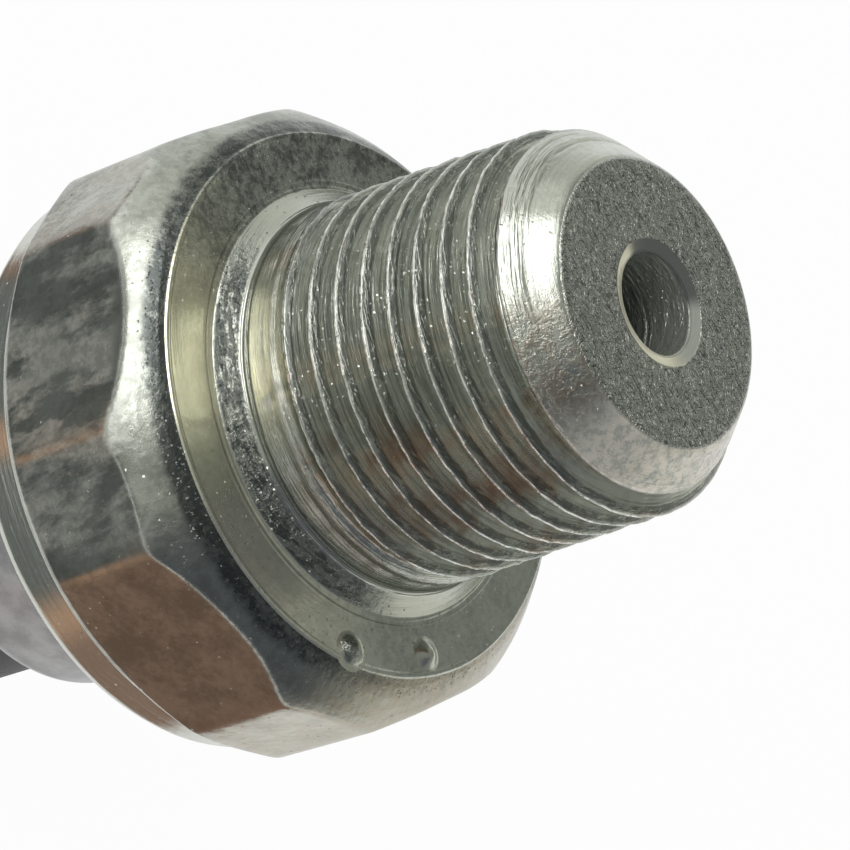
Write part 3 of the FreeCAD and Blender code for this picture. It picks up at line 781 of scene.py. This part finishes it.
def insert_points(angles):
    """The moulding's outline, closed on the axis at both ends. Across the latch the neck's radius is
    crest / cos(angle from +Y), and across the rib the socket's radius is crest / cos(angle from -Y)."""
    from_latch = angles - TAU / 4
    from_key = angles - 3 * TAU / 4
    on_latch = np.abs(from_latch) < latch_half_angle
    on_key = np.abs(from_key) < key_half_angle
    latch = np.where(on_latch, LATCH_CREST / np.cos(np.where(on_latch, from_latch, 0)), NECK_RADIUS)
    key = np.where(on_key, KEY_CREST / np.cos(np.where(on_key, from_key, 0)), SOCKET_RADIUS)
    chamber = INSERT_RADIUS - CHAMBER_WALL
    rib_low = insert_low + KEY_SETBACK
    return turned(softened([
        (0.0, CHAMBER_FLOOR, 0),
        (chamber, CHAMBER_FLOOR, 0.15),
        (chamber, BOARD_REAR, 0.08),
        (INSERT_RADIUS, BOARD_REAR, 0.08),
        (INSERT_RADIUS, GROOVE_HIGH, 0.06),
        (GROOVE_RADIUS, GROOVE_HIGH, 0.06),
        (GROOVE_RADIUS, GROOVE_LOW, 0.06),
        (INSERT_RADIUS, GROOVE_LOW, 0.06),
        (INSERT_RADIUS, LIP_SEAT + INSERT_BEVEL, 0.1),
        (INSERT_RADIUS - INSERT_BEVEL, LIP_SEAT, 0.1),
        (NECK_RADIUS, LIP_SEAT, 0.05),
        (NECK_RADIUS, LATCH_START, 0.05),
        (latch, LATCH_START - DRAFT, 0.05),
        (latch, LATCH_START - LATCH_TOP, 0.1),
        (NECK_RADIUS, LATCH_START - LATCH_LENGTH, 0.1),
        (NECK_RADIUS, insert_low + MOUTH_CHAMFER, 0.12),
        (NECK_RADIUS - MOUTH_CHAMFER, insert_low, 0.08),
        (SOCKET_RADIUS + MOUTH_CHAMFER, insert_low, 0.08),
        (SOCKET_RADIUS, insert_low + MOUTH_CHAMFER, 0.12),
        (SOCKET_RADIUS, rib_low, 0.05),
        (key, rib_low + DRAFT, 0.05),
        (key, SOCKET_FLOOR, 0.1),
        (0.0, SOCKET_FLOOR, 0),
    ], len(angles)), angles)


def glass_filled_plastic():
    """Black plastic with a fine eroded texture, faint flow marks and pale fibre ends."""
    finish = Finish("glass_filled_plastic")
    flow = finish.noise(3.0, detail=4, stretch=(1.0, 1.0, 0.35))
    texture = finish.noise(0.09, detail=3, roughness=0.6)
    fibres = finish.noise(0.16, detail=2, stretch=(1.0, 1.0, 0.25)).step(0.66, 0.74)
    shade = finish.mix(flow, (0.022, 0.022, 0.024), (0.042, 0.042, 0.045))
    finish.feed("Base Color", finish.mix(fibres * 0.5, shade, (0.12, 0.12, 0.12)))
    finish.feed("Roughness", 0.42 + 0.2 * texture)
    finish.feed("Normal", finish.bump(texture * 0.012 + flow * 0.02))
    return finish.material


insert_angles = angles_with_edges(132, TAU / 4 - latch_half_angle, TAU / 4 + latch_half_angle,
                                  3 * TAU / 4 - key_half_angle, 3 * TAU / 4 + key_half_angle)
connector_insert = piece_from_grid("moulded_insert", insert_points(insert_angles))
connector_insert.data.materials.append(glass_filled_plastic())
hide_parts("connector_insert")
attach(connector_insert, "root")
dress(rubber, "insert_seal")

# Terminals: three blades stamped from brass strip and tinned, pressed through the insert's floor
# until their shoulders seat. Their tails go through the board, and their tips are coined thin.
TAIL_TOP = -11.0
SHOULDER_TOP = -14.2
BLADE_TIP = -28.6
BLADE_HALF_WIDTH = 0.75
BLADE_HALF_THICKNESS = 0.32
TAIL_HALF_WIDTH = 0.4
SHOULDER_HALF_WIDTH = 1.05
TIP_HALF_WIDTH = 0.35
TIP_HALF_THICKNESS = 0.12
TIP_TAPER = 0.8
STAMPED_EDGE = 0.06


def blade_points(middle):
    """A rounded rectangle carried down the blade. At each height it is (half width - edge, half
    thickness - edge) to a corner's centre, plus edge (cos, sin) round the corner."""
    rows = np.array([
        (0.0, 0.0, TAIL_TOP),
        (TAIL_HALF_WIDTH - STAMPED_EDGE, BLADE_HALF_THICKNESS - STAMPED_EDGE, TAIL_TOP),
        (TAIL_HALF_WIDTH, BLADE_HALF_THICKNESS, TAIL_TOP - STAMPED_EDGE),
        (TAIL_HALF_WIDTH, BLADE_HALF_THICKNESS, SHOULDER_TOP + 0.01),
        (SHOULDER_HALF_WIDTH - STAMPED_EDGE, BLADE_HALF_THICKNESS, SHOULDER_TOP),
        (SHOULDER_HALF_WIDTH, BLADE_HALF_THICKNESS, SHOULDER_TOP - STAMPED_EDGE),
        (SHOULDER_HALF_WIDTH, BLADE_HALF_THICKNESS, CHAMBER_FLOOR + 0.01),
        (BLADE_HALF_WIDTH, BLADE_HALF_THICKNESS, CHAMBER_FLOOR),
        (BLADE_HALF_WIDTH, BLADE_HALF_THICKNESS, BLADE_TIP + TIP_TAPER),
        (TIP_HALF_WIDTH, TIP_HALF_THICKNESS, BLADE_TIP + STAMPED_EDGE / 2),
        (TIP_HALF_WIDTH - STAMPED_EDGE, TIP_HALF_THICKNESS - STAMPED_EDGE / 2, BLADE_TIP),
        (0.0, 0.0, BLADE_TIP),
    ])
    turn = np.radians(np.add.outer(np.arange(4) * 90, np.linspace(0, 90, 5))).ravel()
    side = np.repeat([(1, 1), (-1, 1), (-1, -1), (1, -1)], 5, axis=0)
    turn, side = np.append(turn, turn[0]), np.vstack([side, side[:1]])
    edge = np.minimum(STAMPED_EDGE, rows[:, 1])[:, None]
    across = side[:, 0] * np.maximum(rows[:, :1] - edge, 0) + edge * np.cos(turn)
    through = side[:, 1] * np.maximum(rows[:, 1:2] - edge, 0) + edge * np.sin(turn)
    return np.stack([middle + across, through, np.broadcast_to(rows[:, 2:], across.shape)], axis=-1)


def tinned_brass():
    """Tin over stamped brass: bright, with lines along the strip and patches rubbed to warm brass."""
    finish = Finish("tinned_brass", Metallic=1.0)
    lines = finish.noise(0.3, detail=4, stretch=(3.0, 3.0, 0.08))
    rub_and_sheen = finish.noise(0.9, detail=4).step(0.45, 0.72)
    finish.feed("Base Color", finish.mix(rub_and_sheen * 0.6, (0.76, 0.75, 0.71), (0.66, 0.58, 0.43)))
    finish.feed("Roughness", 0.2 + 0.16 * lines + 0.1 * rub_and_sheen)
    finish.feed("Normal", finish.bump(lines * 0.006))
    return finish.material


tin = tinned_brass()
for number in (1, 2, 3):
    low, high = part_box("terminal_" + str(number))
    blade = piece_from_grid("blade_" + str(number), blade_points((low[0] + high[0]) / 2 / MM))
    blade.data.materials.append(tin)
    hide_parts("terminal_" + str(number))
    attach(blade, "root")

# Potting: black epoxy poured on the socket's floor, where it seals the blades in. It creeps up the
# wall and the blades as it sets, and sags a little between them.
POTTING_REAR = -21.6
POTTING_RADIUS = 5.58
POTTING_SAG = 0.16
CREEP = 0.35


def potting_points(radii, angles):
    """A disc whose free face is rear + sag (1 - e^(-gap / creep)), where gap is the distance to the
    wall or to the nearest blade, closed round its rim and over its back."""
    x, y = radii[:, None] * np.cos(angles), radii[:, None] * np.sin(angles)
    gap = np.broadcast_to(POTTING_RADIUS - radii[:, None], x.shape)
    for number in (1, 2, 3):
        low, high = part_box("terminal_" + str(number))
        middle = (low[0] + high[0]) / 2 / MM
        aside = np.maximum(np.abs(x - middle) - BLADE_HALF_WIDTH, 0)
        before = np.maximum(np.abs(y) - BLADE_HALF_THICKNESS, 0)
        gap = np.minimum(gap, np.hypot(aside, before))
    free = np.stack([x, y, POTTING_REAR + POTTING_SAG * (1 - np.exp(-gap / CREEP))], axis=-1)
    back = np.stack([x, y, np.full(x.shape, SOCKET_FLOOR)], axis=-1)[::-1]
    return np.concatenate([free, back])


def cast_epoxy():
    """Glossy black resin with a few small bubbles and ripples."""
    finish = Finish("cast_epoxy", Coat_Weight=0.5)
    ripples = finish.noise(1.2, detail=3)
    bubbles = finish.noise(0.25, detail=1).step(0.7, 0.78)
    finish.feed("Base Color", finish.mix(bubbles, (0.014, 0.014, 0.016), (0.04, 0.04, 0.042)))
    finish.feed("Roughness", 0.12 + 0.1 * ripples + 0.2 * bubbles)
    finish.feed("Normal", finish.bump(ripples * 0.02 - bubbles * 0.02))
    return finish.material


potting = piece_from_grid("epoxy_pool", potting_points(np.linspace(0, POTTING_RADIUS, 40), full_turn(160)))
potting.data.materials.append(cast_epoxy())
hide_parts("terminal_potting")
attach(potting, "root")

# Floor: a plain pale sheet under the part, with its shadow. It is white to the camera and in
# reflections, and ordinary pale paint in the light that falls on the part.
FLOOR_SIZE = 3.0
FLOOR_WHITE = 0.96
FLOOR_PAINT = (0.92, 0.92, 0.92)
WHITE = (1, 1, 1)
floor_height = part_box("connector_insert")[0][2]
bpy.ops.mesh.primitive_plane_add(size=FLOOR_SIZE, location=(0, 0, floor_height))
floor = bpy.context.object
floor.name = "floor"


def to_the_eye(nodes):
    """1 for camera, glossy and transmission rays and 0 for all others."""
    rays = ["Is Camera Ray", "Is Glossy Ray", "Is Transmission Ray"]
    camera_ray, glossy_ray, through_ray = nodes.node("ShaderNodeLightPath", {}, {}, rays)
    return camera_ray.maths("MAXIMUM", glossy_ray).maths("MAXIMUM", through_ray)


floor_finish = Finish("pale_floor", Base_Color=FLOOR_PAINT, Roughness=0.9)
painted = Term(floor_finish, floor_finish.shader.outputs[0])
white = floor_finish.node("ShaderNodeEmission", {}, {"Color": WHITE})
blend = floor_finish.node("ShaderNodeMixShader", {}, [to_the_eye(floor_finish) * FLOOR_WHITE, painted, white])
floor_finish.plug(floor_finish.result, blend)
floor.data.materials.append(floor_finish.material)

# Studio light: a pale world, white to the camera and in reflections, and one wide soft lamp that
# stands low on the left of the camera. Its power is pi width height radiance.
WORLD_LIGHT = 0.55
LAMP_DISTANCE = 0.6
LAMP_WIDTH = 0.6
LAMP_HEIGHT = 0.22
LAMP_RADIANCE = 3.2
LAMP_AZIMUTH = math.radians(-143)
LAMP_ELEVATION = math.radians(31)
world = bpy.data.worlds.new("studio")
bpy.context.scene.world = world
world.use_nodes = True
sky = Nodes(world.node_tree)
ambient = sky.node("ShaderNodeBackground", {}, {"Color": WHITE, "Strength": WORLD_LIGHT})
backdrop = sky.node("ShaderNodeBackground", {}, {"Color": WHITE})
sky_blend = sky.node("ShaderNodeMixShader", {}, [to_the_eye(sky), ambient, backdrop])
sky.plug(sky.tree.nodes["World Output"].inputs[0], sky_blend)

lamp_data = bpy.data.lights.new("key_lamp", "AREA")
lamp_data.shape = "RECTANGLE"
lamp_data.size = LAMP_WIDTH
lamp_data.size_y = LAMP_HEIGHT
lamp_data.energy = math.pi * LAMP_WIDTH * LAMP_HEIGHT * LAMP_RADIANCE
lamp = bpy.data.objects.new("key_lamp", lamp_data)
bpy.context.scene.collection.objects.link(lamp)
level_share = math.cos(LAMP_ELEVATION)
towards_lamp = Vector((level_share * math.cos(LAMP_AZIMUTH), level_share * math.sin(LAMP_AZIMUTH),
                       math.sin(LAMP_ELEVATION)))
lamp.location = towards_lamp * LAMP_DISTANCE
lamp.rotation_euler = towards_lamp.to_track_quat("Z", "Y").to_euler()
lamp.visible_camera = False

# Cards: grey and white cards round the set, seen only in reflections, give the plating its light and
# dark bands. They are painted on one dome. Each is (azimuth from, to, elevation from, to, softness,
# colour) in degrees, where azimuths run from 90, behind the part, to 450.
DOME_RADIUS = 1.4
DOME_GREY = (0.27, 0.28, 0.26)
CARDS = (
    (90, 200, -30, 20, 8, (0.72, 0.73, 0.68)),
    (375, 450, -30, 18, 8, (0.8, 0.79, 0.73)),
    (160, 196, 2, 32, 8, (1.0, 1.0, 0.95)),
    (188, 256, 10, 48, 7, (0.9, 0.9, 0.86)),
    (252, 284, 16, 50, 10, (0.55, 0.56, 0.52)),
    (286, 368, -30, 60, 10, (0.12, 0.13, 0.15)),
)
IN_DEGREES = math.degrees(1)
bpy.ops.mesh.primitive_uv_sphere_add(segments=48, ring_count=24, radius=DOME_RADIUS)
dome = bpy.context.object
dome.name = "cards"


def only_in_reflections(piece, finish, colour):
    """Gives a piece of the set its colour, as plain as written, and hides it from all but glossy
    rays. It isn't sampled as a lamp."""
    glow = finish.node("ShaderNodeEmission", {}, {"Color": colour, "Strength": 1.0})
    finish.plug(finish.result, glow)
    finish.material.cycles.emission_sampling = "NONE"
    piece.data.materials.append(finish.material)
    piece.visible_camera = False
    piece.visible_diffuse = False
    piece.visible_transmission = False
    piece.visible_shadow = False


dome_finish = Finish("card_colours")
x, y, z = dome_finish.parts(dome_finish.place)
elevation = z.maths("ARCTAN2", (x * x + y * y) ** 0.5) * IN_DEGREES
azimuth = (y.maths("ARCTAN2", x) * IN_DEGREES - 90).maths("FLOORED_MODULO", 360) + 90
card_colour = DOME_GREY
for from_azimuth, to_azimuth, low, high, soft, colour in CARDS:
    here = azimuth.band(from_azimuth, to_azimuth, soft) * elevation.band(low, high, soft)
    card_colour = dome_finish.mix(here, card_colour, colour)
only_in_reflections(dome, dome_finish, card_colour)

# Dark cloth on the floor in front of the part, outside the picture and seen only in reflections: dark
# grey, with a brown side and two orange strips.
CLOTH_INNER = 24
CLOTH_OUTER = 150
CLOTH_LIFT = 0.5
CLOTH_GREY = (0.18, 0.19, 0.19)
CLOTH_BROWN = (0.31, 0.2, 0.155)
CLOTH_ORANGE = (0.58, 0.36, 0.25)
CLOTH_STRIPS = (-118, -56)
STRIP_HALF_WIDTH = 6
cloth_angles = np.radians(np.linspace(-190, 5, 66))
cloth_radii = np.linspace(CLOTH_INNER, CLOTH_OUTER, 12)[:, None]
cloth_heights = np.full_like(cloth_radii, floor_height / MM + CLOTH_LIFT)
cloth = piece_from_grid("dark_cloth", turned(np.stack([cloth_radii, cloth_heights], axis=-1), cloth_angles))
cloth_finish = Finish("cloth_colours")
x, y = cloth_finish.parts(cloth_finish.place)[:2]
azimuth = y.maths("ARCTAN2", x) * IN_DEGREES
cloth_colour = cloth_finish.mix(azimuth.step(-70, -50), CLOTH_GREY, CLOTH_BROWN)
for middle in CLOTH_STRIPS:
    strip = azimuth.band(middle - STRIP_HALF_WIDTH, middle + STRIP_HALF_WIDTH, 4)
    cloth_colour = cloth_finish.mix(strip, cloth_colour, CLOTH_ORANGE)
only_in_reflections(cloth, cloth_finish, cloth_colour)

# Camera: above the nose, close, and turned so that the axis points to the right and a little up. It
# was solved from the round edges of the nose, the bore and the hexagon.
CAMERA_PLACE = Vector((-3.237, -132.887, 108.537)) * MM
CAMERA_AIM = Vector((1.737, -0.065, 2.634)) * MM
CAMERA_ROLL = math.radians(71.64)
CAMERA_SENSOR = 36.0
CAMERA_LENS = 167.34
CAMERA_NEAR = 10 * MM
camera_data = bpy.data.cameras.new("camera")
camera_data.sensor_width = CAMERA_SENSOR
camera_data.lens = CAMERA_LENS
camera_data.clip_start = CAMERA_NEAR
camera = bpy.data.objects.new("camera", camera_data)
bpy.context.scene.collection.objects.link(camera)
camera.location = CAMERA_PLACE
camera.rotation_mode = "QUATERNION"
level = (CAMERA_AIM - CAMERA_PLACE).to_track_quat("-Z", "Y")
camera.rotation_quaternion = level @ Quaternion((0, 0, 1), CAMERA_ROLL)
bpy.context.scene.camera = camera
bpy.context.scene.view_settings.view_transform = "Standard"
